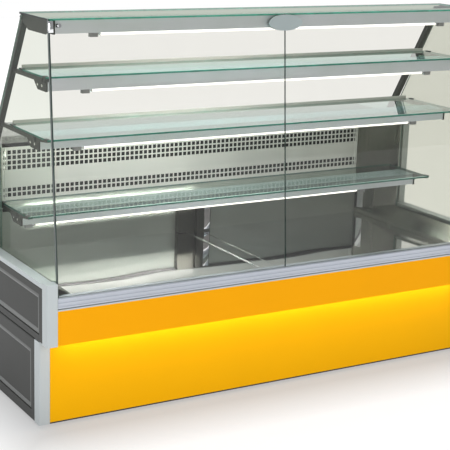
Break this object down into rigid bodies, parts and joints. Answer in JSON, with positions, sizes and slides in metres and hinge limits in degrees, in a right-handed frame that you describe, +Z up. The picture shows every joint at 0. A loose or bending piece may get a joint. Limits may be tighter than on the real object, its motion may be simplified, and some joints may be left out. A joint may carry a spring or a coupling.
{
  "type": "bakery display case",
  "caption": "Refrigerated counter for cakes: sloping glass box with lit glass shelves on a panelled base, front glass tilts forward.",
  "frame": {"origin": "on the floor under the middle of the case's outer box", "axes": "+Z up, +X along the length to the customer's right, +Y from the customer's side to the server's side"},
  "size_m": [1.816, 0.952, 1.343],
  "materials": {
    "yellow_paint": "semi-gloss powder coat on sheet steel",
    "dark_moulding": "fine-grained dark grey ABS",
    "light_trim": "light grey satin extrusion",
    "anodised_rail": "natural anodised extrusion",
    "anodised_profile": "natural anodised extrusion",
    "stainless": "bright rolled stainless sheet",
    "polished_stainless": "mirror polished stainless sheet",
    "panel_steel": "perforated light grey coated sheet",
    "frame_steel": "black painted square tube",
    "black_plastic": "black moulded plastic",
    "foam_core": "foamed insulation between steel skins",
    "coated_wall": "light grey coated steel skin over foam",
    "granite": "polished speckled grey granite",
    "dark_metal": "dark grey satin powder coat",
    "clear_glass": "clear float glass with green ground edges",
    "lamp_tube": "opal lamp tube",
    "opal_diffuser": "opal diffuser of a warm light strip",
    "fin_aluminium": "bare aluminium fins",
    "galvanised": "galvanised sheet",
    "black_shell": "gloss black enamel",
    "grey_pipe": "grey drain pipe",
    "rocker_black": "gloss black rocker",
    "bright_chrome": "polished chrome",
    "satin_plate": "satin oval plate"
  },
  "bodies": {
    "case": {"base_frame": "frame_steel", "levelling_feet": "black_plastic", "kick_plinth": "dark_moulding", "lower_front_panel": "yellow_paint", "upper_front_panel": "yellow_paint", "led_channel": "anodised_rail", "led_diffuser": "opal_diffuser", "hinge_rail": "light_trim", "side_panel_left": "dark_moulding", "side_panel_right": "dark_moulding", "lower_side_panels": "dark_moulding", "upper_front_posts": "light_trim", "lower_front_posts": "light_trim", "side_cap_strips": "light_trim", "insulated_well": "foam_core", "drain_pipe": "grey_pipe", "deck_plate_left": "polished_stainless", "deck_plate_right": "polished_stainless", "deck_joint_strip": "polished_stainless", "inner_back_wall": "stainless", "centre_column": "polished_stainless", "perforated_panel": "panel_steel", "side_liners": "stainless", "rear_wall": "coated_wall", "worktop": "granite", "slanted_posts": "dark_metal", "top_brackets": "dark_metal", "top_glass": "clear_glass", "shelf_glass_upper": "clear_glass", "shelf_glass_middle": "clear_glass", "shelf_glass_lower": "clear_glass", "light_profile_top": "anodised_profile", "light_profile_upper": "anodised_profile", "light_profile_middle": "anodised_profile", "light_profile_lower": "anodised_profile", "profile_end_caps": "dark_metal", "shelf_arms": "dark_metal", "light_tubes": "lamp_tube", "tube_clips": "grey_pipe", "side_glass_left": "clear_glass", "side_glass_right": "clear_glass", "evaporator_fan_shrouds": "black_plastic", "evaporator_coil": "fin_aluminium", "condenser_shroud": "black_shell", "unit_tray": "galvanised", "condenser_coil": "fin_aluminium", "compressor": "black_shell", "rear_grille": "coated_wall", "cable_gland": "black_plastic", "control_box": "black_plastic"},
    "front_glass": {"glass_clamp_rail": "anodised_rail", "front_pane_left": "clear_glass", "front_pane_right": "clear_glass", "glass_studs": "bright_chrome", "joint_plates": "satin_plate"},
    "left_fan_rotor": {"evaporator_fan_left": "black_plastic"},
    "right_fan_rotor": {"evaporator_fan_right": "black_plastic"},
    "condenser_rotor": {"condenser_fan": "galvanised"},
    "light_rocker": {"light_switch": "rocker_black"},
    "cooling_rocker": {"cooling_switch": "rocker_black"}
  },
  "joints": [
    {"name": "front_glass_tilt", "type": "hinge", "parent": "case", "child": "front_glass", "pos_m": [0, -0.476, 0.4303], "axis": [1, 0, 0], "range_deg": [0, 50]},
    {"name": "left_fan_spin", "type": "hinge", "parent": "case", "child": "left_fan_rotor", "pos_m": [-0.3, 0.281, 0.72], "axis": [0, 1, 0], "continuous": true},
    {"name": "right_fan_spin", "type": "hinge", "parent": "case", "child": "right_fan_rotor", "pos_m": [0.3, 0.281, 0.72], "axis": [0, 1, 0], "continuous": true},
    {"name": "condenser_fan_spin", "type": "hinge", "parent": "case", "child": "condenser_rotor", "pos_m": [0.33, 0.296, 0.2], "axis": [0, 1, 0], "continuous": true},
    {"name": "light_switch_rock", "type": "hinge", "parent": "case", "child": "light_rocker", "pos_m": [0.63, 0.402, 0.782], "axis": [1, 0, 0], "range_deg": [0, 16]},
    {"name": "cooling_switch_rock", "type": "hinge", "parent": "case", "child": "cooling_rocker", "pos_m": [0.685, 0.402, 0.782], "axis": [1, 0, 0], "range_deg": [0, 16]}
  ]
}
